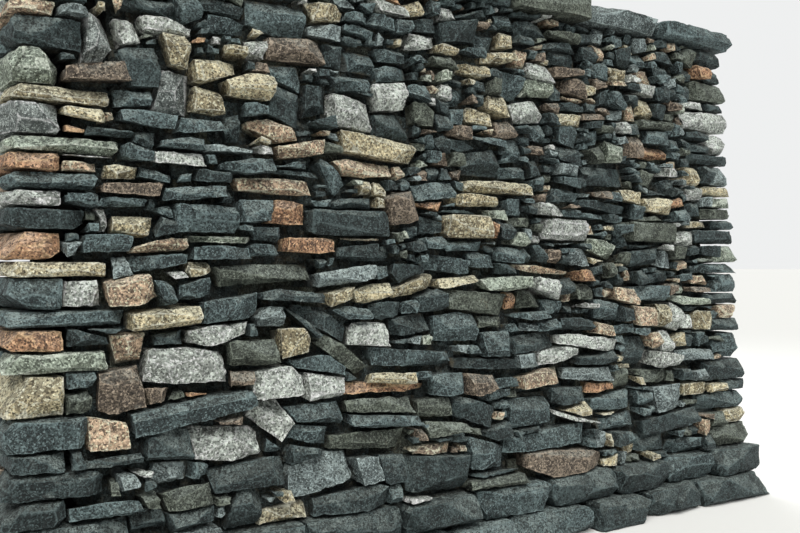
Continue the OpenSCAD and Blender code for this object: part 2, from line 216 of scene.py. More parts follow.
# Kind: title, dark, light and speck colours, grain in metres, amount, blotch, bands, stain, roundness
STONE_KINDS = {
    "d": ("charcoal_dolerite", (0.011, 0.017, 0.017), (0.065, 0.094, 0.095), (0.008, 0.010, 0.010),
          0.0036, 1.00, 2.0, 0.10, 0.07, 0.0),
    "b": ("blue_dolerite", (0.023, 0.034, 0.035), (0.134, 0.187, 0.190), (0.015, 0.018, 0.018),
          0.0038, 1.00, 2.0, 0.12, 0.08, 0.0),
    "B": ("weathered_dolerite", (0.074, 0.095, 0.095), (0.295, 0.360, 0.358), (0.036, 0.042, 0.042),
          0.0040, 1.00, 1.9, 0.15, 0.10, 0.05),
    "g": ("earthy_dolerite", (0.031, 0.037, 0.029), (0.150, 0.174, 0.140), (0.021, 0.023, 0.018),
          0.0038, 0.95, 2.0, 0.20, 0.20, 0.05),
    "r": ("brown_stone", (0.066, 0.052, 0.040), (0.295, 0.238, 0.178), (0.030, 0.025, 0.021),
          0.0044, 0.85, 1.6, 0.20, 0.15, 0.15),
    "G": ("green_granite", (0.135, 0.158, 0.122), (0.450, 0.520, 0.420), (0.050, 0.060, 0.046),
          0.0046, 0.85, 1.4, 0.20, 0.12, 0.2),
    "w": ("pale_granite", (0.262, 0.282, 0.256), (0.735, 0.800, 0.725), (0.085, 0.092, 0.084),
          0.0050, 0.85, 1.2, 0.10, 0.08, 0.2),
    "c": ("cream_granite", (0.205, 0.174, 0.108), (0.735, 0.640, 0.405), (0.055, 0.045, 0.030),
          0.0050, 0.90, 1.3, 0.08, 0.20, 0.3),
    "p": ("pink_granite", (0.215, 0.156, 0.108), (0.760, 0.550, 0.375), (0.060, 0.046, 0.038),
          0.0050, 0.90, 1.3, 0.08, 0.12, 0.3),
    "o": ("red_granite", (0.170, 0.094, 0.055), (0.590, 0.338, 0.195), (0.056, 0.038, 0.030),
          0.0050, 0.90, 1.4, 0.10, 0.10, 0.3),
    "s": ("banded_stone", (0.120, 0.138, 0.132), (0.480, 0.535, 0.510), (0.060, 0.072, 0.070),
          0.0030, 0.50, 1.6, 0.90, 0.10, 0.05),
}


class WallSettings(bpy.types.PropertyGroup):
    """Sizes and lights that the whole wall shares."""

    kinds: CollectionProperty(type=StoneKind, name="Kinds", description="The kinds of stone in the wall")
    joint: a_length("Joint", "Open joint between two face stones", 0.004)
    slant: a_length("Slant", "How far the ends of a joint stray from its line", 0.010)
    growth: a_length("Growth", "How far a face stone reaches towards its neighbours", 0.034)
    relief: a_length("Relief", "How far face stones stand in or out", 0.018)
    facets: a_length("Facets", "Depth of the broken planes at the front of a stone", 0.038)
    backing_depth: a_length("Backing depth", "How far behind the face the plain stones begin", 0.066)
    # Earth and painted shade on the plain stones behind the face, which lie in the joints' shade
    backing_earth: a_share("Backing earth", "How much earth lies on the plain stones behind the face", 0.75)
    tail: a_length("Tail", "Length of a face stone into the wall", 0.135)
    wear: a_length("Wear", "How far arrises are worn back", 0.0012)
    break_relief: a_length("Break relief", "Height of the broken surface", 0.0032)
    # Near-black, so that it paints the shade deep in the joints as well as the earth there
    earth: a_colour("Earth", "Colour of the earth in the joints", (0.022, 0.020, 0.015))
    dry_earth: a_colour("Dry earth", "Colour of the paler patches of that earth", (0.120, 0.094, 0.052))
    floor: a_colour("Floor", "Colour of the studio floor", (0.74, 0.74, 0.72))
    backdrop: a_colour("Backdrop", "Colour of the studio backdrop", (0.86, 0.87, 0.87))
    key_light: a_number("Key light", "Strength of the soft light high in front of the wall", 3.6)
    fill_light: a_number("Fill light", "Strength of the light from all round", 0.38)
    seed: IntProperty(name="Seed", description="Choice of the stones that aren't marked", default=7)


# Shape of the walling, from the frame and from the sizes in the part's source
FOOTING_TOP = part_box("footing_front")[1].z
THROUGH_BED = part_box("through_stone_1")[0].z
COPE_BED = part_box("cope_slab_1")[0].z
BASE_HALF = 0.370
HEAD_HALF = 0.240
END_FOOT = 1.510
END_HEAD = 1.470
# How far above its bed a cope slab still counts as resting on the wall
COPE_CONTACT = 0.012


def bounded(value, low, high):
    """A value kept between two limits."""
    return min(max(value, low), high)


def share(z):
    """Where a height lies between the footing and the cope, from 0 to 1."""
    return bounded((z - FOOTING_TOP) / (COPE_BED - FOOTING_TOP), 0, 1)


def face_y(z):
    """Half the thickness of the walling at a height."""
    return BASE_HALF + (HEAD_HALF - BASE_HALF) * share(z)


def end_x(z):
    """Half the length of the walling at a height."""
    return END_FOOT + (END_HEAD - END_FOOT) * share(z)


def depth_in_wall(p):
    """How far a point lies behind the nearest face or end of the walling."""
    return min(face_y(p.z) - abs(p.y), end_x(p.z) - abs(p.x))


def way_out(p):
    """The way from a point in the walling through its nearest face or end."""
    if face_y(p.z) - abs(p.y) < end_x(p.z) - abs(p.x):
        return Vector((0, math.copysign(1, p.y), 0))
    return Vector((math.copysign(1, p.x), 0, 0))


def depth_in_cope(p):
    """How far a point lies behind the edge of the walling under the cope, where the slabs rest."""
    return depth_in_wall(p) if p.z < COPE_BED + COPE_CONTACT else 0.0


# Hewing one stone

# Points nearer to a plane than this lie in it
TOLERANCE = 1e-6
# How much of its width and of its height a stone loses at a corner: lowest and highest share of each
CORNER_LOSS = {
    "plain": ((0.03, 0.24), (0.10, 0.46)),
    "taper above": ((0.30, 0.46), (0.28, 0.44)),
    "taper below": ((0.2, 0.45), (0.2, 0.42)),
    "narrow left": ((0.28, 0.44), (0.40, 0.62)),
    "narrow right": ((0.28, 0.44), (0.36, 0.60)),
    "rounded": ((0.16, 0.26), (0.24, 0.36)),
    "pointed": ((0.32, 0.46), (0.28, 0.42)),
    "leaning": ((0.30, 0.44), (0.5, 0.72)),
}
# How often a stone without a form of its own loses a corner
PLAIN_CORNERS = 0.50
# Greatest length of a cut corner, in heights of the stone
LONGEST_CORNER = 2.2

# How far behind the foremost point of a front its main plane passes, and its falls begin
FRONT_INSET = (0.002, 0.006)
FALL_INSET = 0.003
SIDE_INSET = 0.004
# How a front falls back towards its top and its foot: way up, how often, where the fall begins as a share
# of the height, how steep it is, and how far it turns to a side
FALLS = (
    (1, 0.80, (0.36, 0.80), (0.6, 2.0), 0.25),
    (-1, 0.60, (0.14, 0.46), (0.4, 1.8), 0.20),
)
# The same towards its sides: how often, where it begins as a share of a width that counts up to a limit,
# how steep it is, and how far it leans up or down
SIDE_FALLS = 0.70
SIDE_START = (0.12, 0.50)
SIDE_WIDTH = 0.18
SIDE_STEEPNESS = (0.3, 1.5)
SIDE_LEAN = (-0.7, 0.9)


def cut(stone, point, normal):
    """Takes off what lies beyond a plane, and closes the stone there."""
    parts = stone.verts[:] + stone.edges[:] + stone.faces[:]
    made = bmesh.ops.bisect_plane(
        stone, geom=parts, dist=TOLERANCE, plane_co=point, plane_no=normal, clear_outer=True)
    rim = [e for e in made["geom_cut"] if isinstance(e, bmesh.types.BMEdge)]
    if rim:
        bmesh.ops.edgeloop_fill(stone, edges=rim)


def stray(chance, reach):
    """A vector drawn from a cube round the origin."""
    return Vector([chance.uniform(-reach, reach) for _ in range(3)])


def score(stone, point, normal, faces):
    """Draws a line round some faces of the stone, for the points of its rough surface."""
    parts = list({v for f in faces for v in f.verts}) + list({e for f in faces for e in f.edges}) + faces
    bmesh.ops.bisect_plane(stone, geom=parts, dist=TOLERANCE, plane_co=point, plane_no=normal)


def box_of(stone):
    """Lowest and highest corner of a stone."""
    return [Vector([limit(v.co[axis] for v in stone.verts) for axis in range(3)]) for limit in (min, max)]


def corner_cuts(form, chance):
    """How much of its width and height a stone loses at each corner, by its form."""
    def loss(name):
        across, up = CORNER_LOSS[name]
        return chance.uniform(*across), chance.uniform(*up)

    cuts = {(x, z): loss("plain")
            for x in (-1, 1) for z in (-1, 1) if form or chance.random() < PLAIN_CORNERS}
    taper = loss("taper above")
    if form in ("<", ">"):
        side = 1 if form == ">" else -1
        cuts[side, 1] = taper
        cuts[side, -1] = loss("taper below")
    elif form in ("^", "v"):
        end = 1 if form == "^" else -1
        cuts[-1, end] = loss("narrow left")
        cuts[1, end] = loss("narrow right")
    elif form in ("o", "x"):
        cuts = {corner: loss("rounded" if form == "o" else "pointed") for corner in cuts}
    elif form in ("/", "|"):
        lean = 1 if form == "/" else -1
        cuts[-lean, 1] = cuts[lean, -1] = loss("leaning")
    return cuts


def rough_out(width, height, depth, form, chance):
    """A block with the corners of its form, its front at y = 0 and its tail behind it."""
    stone = bmesh.new()
    bmesh.ops.create_cube(stone, size=1.0, matrix=Matrix.Translation((0, depth / 2, 0))
                          @ Matrix.Diagonal((width, depth, height, 1)))
    for (x, z), (share_x, share_z) in corner_cuts(form, chance).items():
        run = min(share_x * width, LONGEST_CORNER * height)
        rise = share_z * height
        cut(stone, Vector((x * (width / 2 - run), 0, z * height / 2)), Vector((x * rise, 0, z * run)))
    return stone


def slope(chance, usual, spread, least, most, size, full):
    """A slope drawn round a usual one, which grows less on stones larger than a full size."""
    return bounded(chance.gauss(usual, spread), least, most) * min(1, full / size)


def break_front(stone, out, chance, depth):
    """Breaks the side of a stone that looks one way into a few rough planes, down to a depth."""
    up = Vector((0, 0, 1))
    across = up.cross(out)
    low, high = ([limit(v.co.dot(way) for v in stone.verts) for way in (across, up, out)]
                 for limit in (min, max))
    wide, tall = high[0] - low[0], high[1] - low[1]
    middle = [(a + b) / 2 for a, b in zip(low, high)]

    def at(a, u, inset):
        return across * a + up * u + out * (high[2] - inset)

    turn = slope(chance, usual=0, spread=0.20, least=-0.42, most=0.42, size=wide, full=0.14)
    lean = slope(chance, usual=0.07, spread=0.18, least=-0.35, most=0.48, size=tall, full=0.09)
    cut(stone, at(middle[0], middle[1], chance.uniform(*FRONT_INSET)), out + across * turn + up * lean)
    for end, often, start, steepness, sideways in FALLS:
        if chance.random() < often:
            ridge = low[1] + tall * chance.uniform(*start)
            room = high[1] - ridge if end == 1 else ridge - low[1]
            fall = up * end * min(chance.uniform(*steepness), depth / room)
            way = out + fall + across * chance.uniform(-sideways, sideways)
            cut(stone, at(middle[0], ridge, FALL_INSET), way)
    for side in (-1, 1):
        if chance.random() < SIDE_FALLS:
            inset = chance.uniform(*SIDE_START) * min(wide, SIDE_WIDTH)
            edge = high[0] - inset if side == 1 else low[0] + inset
            fall = across * side * min(chance.uniform(*SIDE_STEEPNESS), depth / inset)
            cut(stone, at(edge, middle[1], SIDE_INSET), out + fall + up * chance.uniform(*SIDE_LEAN))


# Surface of one stone

# How deep into a joint the stones are worked, and how far apart the points of that surface are
SHOWN_DEPTH = 0.040
POINT_PITCH = 0.0135
COPE_PITCH = 0.018
# How far the lines between those points lean, as a slope, and move, as a share of their distance
LINE_LEAN = 0.08
LINE_SHIFT = 0.25
# Faces that meet at a greater angle than these make a worn arris or a sharp crease, in radians
ARRIS_ANGLE = 0.42
CREASE_ANGLE = 0.12
# How many swells, ripples and chips of a broken surface there are to a metre
SWELLS = 18
RIPPLES = 55
CHIPS = 64
# How high the swells and ripples are, and how far the surface lies back, in heights of the relief
SWELL_HEIGHT = 1.2
RIPPLE_HEIGHT = 0.6
SURFACE_BACK = 0.7
# How far an arris is worn, as a share of the wear: on any stone, more on a round one, and more in a chip
LEAST_WEAR = 0.2
ROUND_WEAR = 1.2
CHIP_WEAR = 8
# Stones rounder than this are smoothed as well
SMOOTHED_FROM = 0.25
# Where the earth and the painted shade in a joint begin behind the face, and over what depth they grow thick
EARTH_SHADE_START = 0.012
EARTH_SHADE_SPAN = 0.042


def shown_faces(stone):
    """The faces that are worked, which have the first material."""
    return [f for f in stone.faces if f.material_index == 0]


def score_shown(stone, depth_at, chance, pitch):
    """Parts the faces down to SHOWN_DEPTH from those deeper in the wall, and scores them a pitch apart."""
    middle = sum((v.co for v in stone.verts), Vector()) / len(stone.verts)
    for normal, reach in ((Vector((0, 1, 0)), face_y(middle.z)), (Vector((1, 0, 0)), end_x(middle.z))):
        for side in (-1, 1):
            score(stone, normal * side * (reach - SHOWN_DEPTH), normal, stone.faces[:])
    for f in stone.faces:
        f.material_index = 0 if depth_at(f.calc_center_median()) < SHOWN_DEPTH + 0.001 else 1
    for axis in range(3):
        shown = shown_faces(stone)
        if not shown:
            break
        low, high = (limit(v.co[axis] for f in shown for v in f.verts) for limit in (min, max))
        count = max(round((high - low) / pitch), 1)
        for k in range(1, count):
            point, normal = middle.copy(), stray(chance, LINE_LEAN)
            point[axis] = low + (high - low) * (k + chance.uniform(-LINE_SHIFT, LINE_SHIFT)) / count
            normal[axis] = 1
            score(stone, point, normal, shown_faces(stone))


def break_surface(stone, depth_at, roundness, settings, chance, pitch=POINT_PITCH):
    """Gives the shown faces of a hewn stone their broken relief and worn arrises, in place."""
    score_shown(stone, depth_at, chance, pitch)
    stone.normal_update()
    wear = stone.verts.layers.float.new("wear")
    recess = stone.verts.layers.float.new("recess")
    for e in stone.edges:
        angle = e.calc_face_angle(0)
        e.smooth = angle < CREASE_ANGLE * (1 + 2 * roundness)
        if angle > ARRIS_ANGLE:
            for v in e.verts:
                v[wear] = 1.0
    shown = {v for f in shown_faces(stone) for v in f.verts}
    offset = stray(chance, 40)
    moves = {}
    for v in shown:
        swell, ripple = noise.noise(v.co * SWELLS + offset), noise.noise(v.co * RIPPLES + offset)
        move = settings.break_relief * (SWELL_HEIGHT * swell + RIPPLE_HEIGHT * ripple - SURFACE_BACK)
        if v[wear] > 0.5:
            chip = max(noise.noise(v.co * CHIPS - offset), 0)
            move -= settings.wear * (LEAST_WEAR + ROUND_WEAR * roundness + chip * CHIP_WEAR)
        moves[v] = v.normal * move
        # 0 where the surface looks out of the wall, within 45 degrees, and 1 where it looks to a side
        hidden = 1 - bounded(1.7 * v.normal.dot(way_out(v.co)) - 0.2, 0, 1)
        # How far the earth and painted shade of the joint darken this point
        v[recess] = hidden * bounded((depth_at(v.co) - EARTH_SHADE_START) / EARTH_SHADE_SPAN, 0, 1)
    # Points deeper in the wall than the worked faces take the full earth and painted shade
    for v in stone.verts:
        if v in moves:
            v.co += moves[v]
        else:
            v[recess] = 1.0
    if roundness > SMOOTHED_FROM:
        bmesh.ops.smooth_vert(stone, verts=list(shown), factor=roundness,
                              use_axis_x=True, use_axis_y=True, use_axis_z=True)


# Stones joined to pieces

class Heap:
    """The stones of one piece, joined as they are laid."""

    def __init__(self):
        self.mesh = bmesh.new()
        self.kinds = []

    def lay(self, stone, kind, turn, chance):
        """Adds a finished stone, with its own grain direction and tone."""
        if kind not in self.kinds:
            self.kinds.append(kind)
        slot = self.kinds.index(kind)
        grain = stone.verts.layers.float_vector.new("grain")
        tone = stone.faces.layers.float.new("tone")
        bed = Matrix.Rotation(turn, 3, "Y") @ Matrix.Rotation(chance.uniform(-0.2, 0.2), 3, "X")
        origin = stray(chance, 9)
        lightness = chance.random()
        for v in stone.verts:
            v[grain] = bed @ v.co + origin
        for f in stone.faces:
            f.material_index = slot
            f.smooth = True
            f[tone] = lightness
        part = bpy.data.meshes.new("part")
        stone.to_mesh(part)
        stone.free()
        self.mesh.from_mesh(part)
        bpy.data.meshes.remove(part)

    def finish(self, name, slot, node):
        """Makes the piece, which stands for a node of the frame."""
        for v in self.mesh.verts:
            v.co = Vector([bounded(c, low, high) for c, low, high in zip(v.co, *CAD_BOX)])
        mesh = bpy.data.meshes.new(name)
        self.mesh.to_mesh(mesh)
        self.mesh.free()
        for kind in self.kinds:
            mesh.materials.append(stone_material(kind))
        piece = bpy.data.objects.new(name, mesh)
        bpy.context.scene.collection.objects.link(piece)
        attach(piece, "root")
        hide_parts(node)


# Stones that the frame gives

# A bed up to this far above the ground, or further above the cope's bed, isn't tilted
BED_SLACK = 0.001
# A stone whose side comes this near to a face or an end shows there
FACE_SLACK = 0.004
# Knocks that take off an arris or a corner of a stone that the frame gives: how many there may be, how
# unevenly they lean, and how deep they are, as a share of its break and at most of its least side
KNOCKS = (4, 5, 6, 7)
KNOCK_LEAN = (0.5, 1.5)
KNOCK_DEPTH = (0.2, 1)
DEEPEST_KNOCK = 0.22
# How far the beds of such a stone may fall, as a share of its break and at most of its height
BED_FALL = 0.15
MOST_BED_FALL = 0.07
# How deep those stones are broken
FOOTING_BREAK = 0.028
END_BREAK = 0.027
THROUGH_BREAK = 0.016
COPE_BREAK = 0.022


def frame_stones(node):
    """Each separate stone of a node of the frame, as its own merged copy, from the lowest up."""
    whole = bmesh.new()
    whole.from_mesh(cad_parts[node].data)
    bmesh.ops.remove_doubles(whole, verts=whole.verts[:], dist=1e-5)
    bmesh.ops.dissolve_limit(whole, angle_limit=0.01, verts=whole.verts[:], edges=whole.edges[:])
    left = set(whole.verts)
    stones = []
    while left:
        found = {left.pop()}
        newest = list(found)
        while newest:
            near = {e.other_vert(v) for v in newest for e in v.link_edges} & left
            left -= near
            found |= near
            newest = list(near)
        stones.append(found)
    stones.sort(key=lambda stone: [round(min(v.co[axis] for v in stone), 3) for axis in (2, 0, 1)])
    made = []
    for stone in stones:
        kept = {v.index for v in stone}
        made.append(whole.copy())
        bmesh.ops.delete(made[-1], geom=[v for v in made[-1].verts if v.index not in kept], context="VERTS")
    whole.free()
    return made


def stone_boxes(node):
    """Lowest and highest corner of each stone of a node of the frame, from the lowest up."""
    boxes = []
    for stone in frame_stones(node):
        boxes.append(box_of(stone))
        stone.free()
    return boxes


def nodes_called(start):
    """The nodes of the frame whose names start with a word, from left to right."""
    return sorted(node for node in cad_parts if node.startswith(start))


def weather(stone, chance, largest):
    """Breaks the outer sides of a stone of the frame, and chips some of its arrises."""
    low, high = box_of(stone)
    size = high - low
    middle = (low + high) / 2
    for _ in range(chance.choice(KNOCKS)):
        way = Vector([chance.choice((-1, 1)) * chance.choice((0, 1, 1)) for _ in range(3)])
        if list(way).count(0) > 1:
            continue
        way = Vector([w * chance.uniform(*KNOCK_LEAN) for w in way]).normalized()
        reach = max((v.co - middle).dot(way) for v in stone.verts)
        depth = min(chance.uniform(*KNOCK_DEPTH) * largest, DEEPEST_KNOCK * min(size))
        cut(stone, middle + way * (reach - depth), way)
    for side, level in ((-1, low.z), (1, high.z)):
        fall = min(BED_FALL * largest, MOST_BED_FALL * size.z)
        way = Vector((chance.uniform(-fall, fall) / size.x, chance.uniform(-fall, fall) / size.y, side))
        corner = Vector((-math.copysign(size.x, way.x), -math.copysign(size.y, way.y), side * size.z))
        if BED_SLACK < level < COPE_BED + BED_SLACK:
            cut(stone, middle + corner / 2, way)
    for axis, edge in ((1, face_y(high.z)), (0, end_x(high.z))):
        for side in (-1, 1):
            out = Vector()
            out[axis] = side
            if max(v.co.dot(out) for v in stone.verts) > edge - FACE_SLACK:
                break_front(stone, out, chance, largest)


def lay_frame_stones(node, slot, kind_of, settings, largest, depth_at=depth_in_wall, pitch=POINT_PITCH):
    """Makes the piece of a node whose stones the frame gives one by one."""
    chance = random.Random(f"{node} {settings.seed}")
    heap = Heap()
    for stone in frame_stones(node):
        kind = kind_of(stone, chance)
        weather(stone, chance, largest)
        break_surface(stone, depth_at, settings.kinds[kind].roundness, settings, chance, pitch)
        heap.lay(stone, kind, chance.uniform(-0.08, 0.08), chance)
    heap.finish(f"{node}_stones", slot, node)


# Laying out a face

# Size of the cells in which a face is laid out, and the left edge of the first
CELL = 0.005
LAYOUT_LEFT = -1.515
# A marked stone loses a side when this share of it is taken, unless only a little of the stone is,
# and is left out when too much of it is or fewer cells are left. One turned further stays as it is.
SIDE_TAKEN = 0.45
LITTLE_TAKEN = 0.04
MOST_TAKEN = 0.3
LEAST_LEFT = 4
FREE_TURN = 0.35
# Spread of the turn of a stone that is marked as level: least, more for each share of its height to its
# width, and most
LEAST_TURN = 0.03
TALL_TURN = 0.15
MOST_TURN = 0.18

# Stones that fill what the marked ones leave, in cells: logarithm of the usual width and its spread,
# usual heights, the least width and height, the greatest height, and how far up the room is measured
FILLER_WIDTH = (3.25, 0.40)
FILLER_HEIGHT = (9, 18)
LEAST_WIDE = 5
LEAST_HIGH = 3
MOST_HIGH = 26
LOOK_UP = 30
# Such a stone takes a whole run of free cells that is up to this much longer than it. It ends at a step,
# where the room above is less or more than these shares of the usual, but not in its first few cells.
RUN_STRETCH = 1.45
STEP_DOWN = 0.5
STEP_UP = 2.2
FIRST_CELLS = 4
# It is as high as the room above it, of which this percentage may be lower. It takes a usual height where
# the room is this many cells higher than that, and is never higher than this share of its width.
LOWER_ROOM = 20
SPARE_ROOM = 4
TALLEST = 1.1
# Spread of its turn, in degrees
FILLER_TURN = 2.2


class Layout:
    """Which cells of a face, seen from its front, are taken by a stone."""

    def __init__(self):
        self.wide = round(2 * -LAYOUT_LEFT / CELL)
        self.high = round((COPE_BED - FOOTING_TOP) / CELL)
        x = LAYOUT_LEFT + (np.arange(self.wide) + 0.5) * CELL
        z = FOOTING_TOP + (np.arange(self.high) + 0.5) * CELL
        self.x, self.z = np.meshgrid(x, z)
        self.taken = np.abs(self.x) > np.array([[end_x(height)] for height in z])

    def span(self, x0, x1, z0, z1):
        """The cells of an upright box, as two slices."""
        left, right = (bounded(round((x - LAYOUT_LEFT) / CELL), 0, self.wide) for x in (x0, x1))
        low, high = (bounded(round((z - FOOTING_TOP) / CELL), 0, self.high) for z in (z0, z1))
        return slice(low, high), slice(left, right)

    def take(self, x0, x1, z0, z1, turn=0.0):
        """Takes the cells of a box that is turned about its middle."""
        x, z = (x0 + x1) / 2, (z0 + z1) / 2
        c, s = math.cos(turn), math.sin(turn)
        along = (self.x - x) * c + (self.z - z) * s
        up = (self.z - z) * c - (self.x - x) * s
        self.taken |= (np.abs(along) < (x1 - x0) / 2) & (np.abs(up) < (z1 - z0) / 2)

    def trimmed(self, x0, x1, z0, z1):
        """The box without the sides where other stones lie, or None if little is left of it."""
        while True:
            cells = self.taken[self.span(x0, x1, z0, z1)]
            if min(cells.shape) < LEAST_LEFT:
                return None
            sides = {"x0": cells[:, 0], "x1": cells[:, -1], "z0": cells[0], "z1": cells[-1]}
            worst = max(sides, key=lambda side: sides[side].mean())
            if sides[worst].mean() < SIDE_TAKEN or cells.mean() < LITTLE_TAKEN:
                return (x0, x1, z0, z1) if cells.mean() < MOST_TAKEN else None
            x0, x1 = x0 + CELL * (worst == "x0"), x1 - CELL * (worst == "x1")
            z0, z1 = z0 + CELL * (worst == "z0"), z1 - CELL * (worst == "z1")

    def fill(self, chance):
        """Lays stones in the room that is left, the lowest places first, and gives their boxes."""
        near = self.taken.copy()
        near[1:] |= self.taken[:-1]
        near[:-1] |= self.taken[1:]
        near[:, 1:] |= self.taken[:, :-1]
        near[:, :-1] |= self.taken[:, 1:]
        self.taken = near
        boxes = []
        for row in range(self.high):
            column = 0
            while column < self.wide:
                if self.taken[row, column]:
                    column += 1
                    continue
                end = column
                while end < self.wide and not self.taken[row, end]:
                    end += 1
                column = self.fill_run(row, column, end, chance, boxes)
        return boxes

    def fill_run(self, row, start, end, chance, boxes):
        """Lays one stone at the left of a free run of cells, and gives the cell where it ends."""
        above = self.taken[row:row + LOOK_UP, start:end]
        room = np.where(above.any(0), above.argmax(0), above.shape[0])
        wanted = int(chance.lognormvariate(*FILLER_WIDTH))
        length = end - start
        wide = length if length < RUN_STRETCH * wanted else wanted
        wide = bounded(wide, LEAST_WIDE, length)
        if length - wide <= LEAST_WIDE:
            wide = length
        level = np.median(room[:wide])
        steps = np.nonzero((room[:wide] < STEP_DOWN * level) | (room[:wide] > STEP_UP * level))[0]
        if len(steps) and steps[0] >= FIRST_CELLS:
            wide = int(steps[0])
        high = int(np.percentile(room[:wide], LOWER_ROOM))
        best = chance.randint(*FILLER_HEIGHT)
        if high > best + SPARE_ROOM:
            high = best
        high = min(high, max(int(TALLEST * wide), LEAST_HIGH), MOST_HIGH)
        if wide >= LEAST_WIDE and high >= LEAST_HIGH:
            x0, z0 = LAYOUT_LEFT + start * CELL, FOOTING_TOP + row * CELL
            boxes.append((x0, x0 + wide * CELL, z0, z0 + high * CELL))
        self.taken[row:row + max(high, 1), start:start + wide] = True
        return start + wide


def marked_stones():
    """Kind, form, box in metres and turn in radians of each marked stone."""
    for line in MARKED_STONES.split(","):
        words = line.split()
        box = [float(w) / 100 for w in words[1:5]]
        turn = math.radians(float(words[5])) if len(words) > 5 else 0.0
        yield words[0][0], words[0][1:], box, turn


def pick(choices, chance):
    """One of several choices, each with how often it is used."""
    return chance.choices(list(choices), list(choices.values()))[0]


def lay_out_face(side, chance):
    """The stones of a face as kind, form, box and turn, and the boxes of the frame's own stones in it.

    Both are as seen from the front of that face: side is 1 for the front and -1 for the back.
    """
    runners = "front_runners" if side == 1 else "back_runners"
    given = [box for end in ("left_end", "right_end") for part in ("ties", runners)
             for box in stone_boxes(f"{end}_{part}")]
    given += [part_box(node) for node in nodes_called("through_stone")]
    fixed = [(*sorted((side * low.x, side * high.x)), low.z, high.z) for low, high in given]
    layout = Layout()
    for box in fixed:
        layout.take(*box)
    placed = []
    for kind, form, box, turn in marked_stones():
        if abs(turn) < FREE_TURN:
            box = layout.trimmed(*box)
            if box is None:
                continue
        if turn == 0:
            tallness = (box[3] - box[2]) / (box[1] - box[0])
            turn = chance.gauss(0, min(LEAST_TURN + TALL_TURN * tallness, MOST_TURN))
        placed.append((kind, form, box, turn))
        layout.take(*box, turn)
    for box in layout.fill(chance):
        form, kind = pick(OTHER_FORMS, chance), pick(OTHER_KINDS, chance)
        placed.append((kind, form, box, math.radians(chance.gauss(0, FILLER_TURN))))
    return placed, fixed


# Joints between the stones of a face

# Stones further apart than this aren't neighbours. Boxes that overlap are set in by these steps
# until they are apart, and the joint runs between them. It leans by no more than this slope.
NEIGHBOUR_REACH = 0.04
INSETS = (0.006, 0.014, 0.028, 0.045)
JOINT_LEAN = 0.32
# An outline that is set in keeps at least this share of its size
KEPT_SIZE = 0.15


def outline(box, turn, inset):
    """Corners of a turned box in the face, set in on all sides."""
    x0, x1, z0, z1 = box
    c, s = math.cos(turn), math.sin(turn)
    a, b = (max(half - inset, KEPT_SIZE * half) for half in ((x1 - x0) / 2, (z1 - z0) / 2))
    return [Vector(((x0 + x1) / 2 + i * a * c - j * b * s, (z0 + z1) / 2 + i * a * s + j * b * c))
            for i, j in ((-1, -1), (1, -1), (1, 1), (-1, 1))]


def extent(shape, way):
    """The least and the greatest distance of an outline's corners along a way."""
    return [limit(corner.dot(way) for corner in shape) for limit in (min, max)]


def overlap(one, two):
    """Whether two convex outlines overlap."""
    for shape in (one, two):
        for p, q in zip(shape, shape[1:] + shape[:1]):
            way = Vector((q.y - p.y, p.x - q.x))
            (low, high), (other_low, other_high) = extent(one, way), extent(two, way)
            if high < other_low or other_high < low:
                return False
    return True


def nearest(one, two):
    """The points where two outlines that don't overlap come nearest to each other."""
    best = None
    for first, second in ((one, two), (two, one)):
        for p in first:
            for q, r in zip(second, second[1:] + second[:1]):
                along = bounded((p - q).dot(r - q) / (r - q).length_squared, 0, 1)
                s = q + (r - q) * along
                if best is None or (p - s).length < best[0]:
                    best = ((p - s).length, p, s) if first is one else ((p - s).length, s, p)
    return best[1], best[2]


def joint_between(one, two, given, settings, chance):
    """Middle of the joint between two outlines that don't overlap, and the way from the first to the second.

    The joint leans by up to the slant over half the length of the longer stone, and lies against
    a second stone that the frame gives.
    """
    p, q = nearest(one, two)
    way = (q - p).normalized()
    if given:
        return q - way * settings.joint / 2, way
    middle = (p + q) / 2
    along = Vector((-way.y, way.x))
    (low, high), (other_low, other_high) = extent(one, along), extent(two, along)
    start = max(low, other_low)
    shared = min(high, other_high) - start
    if shared > 0:
        middle += along * ((start + shared / 2) - middle.dot(along))
        longest = max(high - low, other_high - other_low)
        lean = chance.uniform(-1, 1) * min(2 * settings.slant / longest, JOINT_LEAN)
        way = (way + along * lean).normalized()
    return middle, way


def joints(stones, fixed, settings, chance):
    """For each stone of a face, where its neighbours begin, as points and ways outwards in the face."""
    planes = [[] for _ in stones]
    boxes = [(box, turn) for kind, form, box, turn in stones] + [(box, 0.0) for box in fixed]
    across, up = Vector((1, 0)), Vector((0, 1))
    around = [(*extent(outline(*box, 0), across), *extent(outline(*box, 0), up)) for box in boxes]
    far = NEIGHBOUR_REACH
    for i, a in enumerate(around[:len(stones)]):
        for j, b in enumerate(around[i + 1:], i + 1):
            if a[0] > b[1] + far or b[0] > a[1] + far or a[2] > b[3] + far or b[2] > a[3] + far:
                continue
            given = j >= len(stones)
            for inset in INSETS:
                one, two = outline(*boxes[i], inset), outline(*boxes[j], 0 if given else inset)
                if not overlap(one, two):
                    middle, way = joint_between(one, two, given, settings, chance)
                    planes[i].append((middle - way * settings.joint / 2, way))
                    if not given:
                        planes[j].append((middle + way * settings.joint / 2, -way))
                    break
    return planes


# Face stones, and the plain stones behind them

# Space between a face stone and the footing or the cope
BED_JOINT = 0.003
# Face stones: what share of the growth one gets, how long its tail is at least and for its width, by what
# share that varies, how much it narrows towards its tail, as a slope, how deep its front may be broken, as
# a share of its lesser side, and below how many corners it is left out
GROWTH_SHARE = (0.75, 1.0)
LEAST_TAIL = 0.05
TAIL_TO_WIDTH = 0.9
TAIL_SHARE = (0.85, 1.1)
TAIL_NARROWING = (0, 0.12)
DEEPEST_BREAK = 0.6
LEAST_CORNERS = 6
# Spread of how far they are turned to a side and lean, in degrees. Wider ones are turned less.
SIDEWAYS_TURN = 5.0
TURNED_WIDTH = 0.16
FORWARD_LEAN = 4.5
# A stone higher than this many widths was laid on its end, so its bedding is upright
ON_END = 1.15
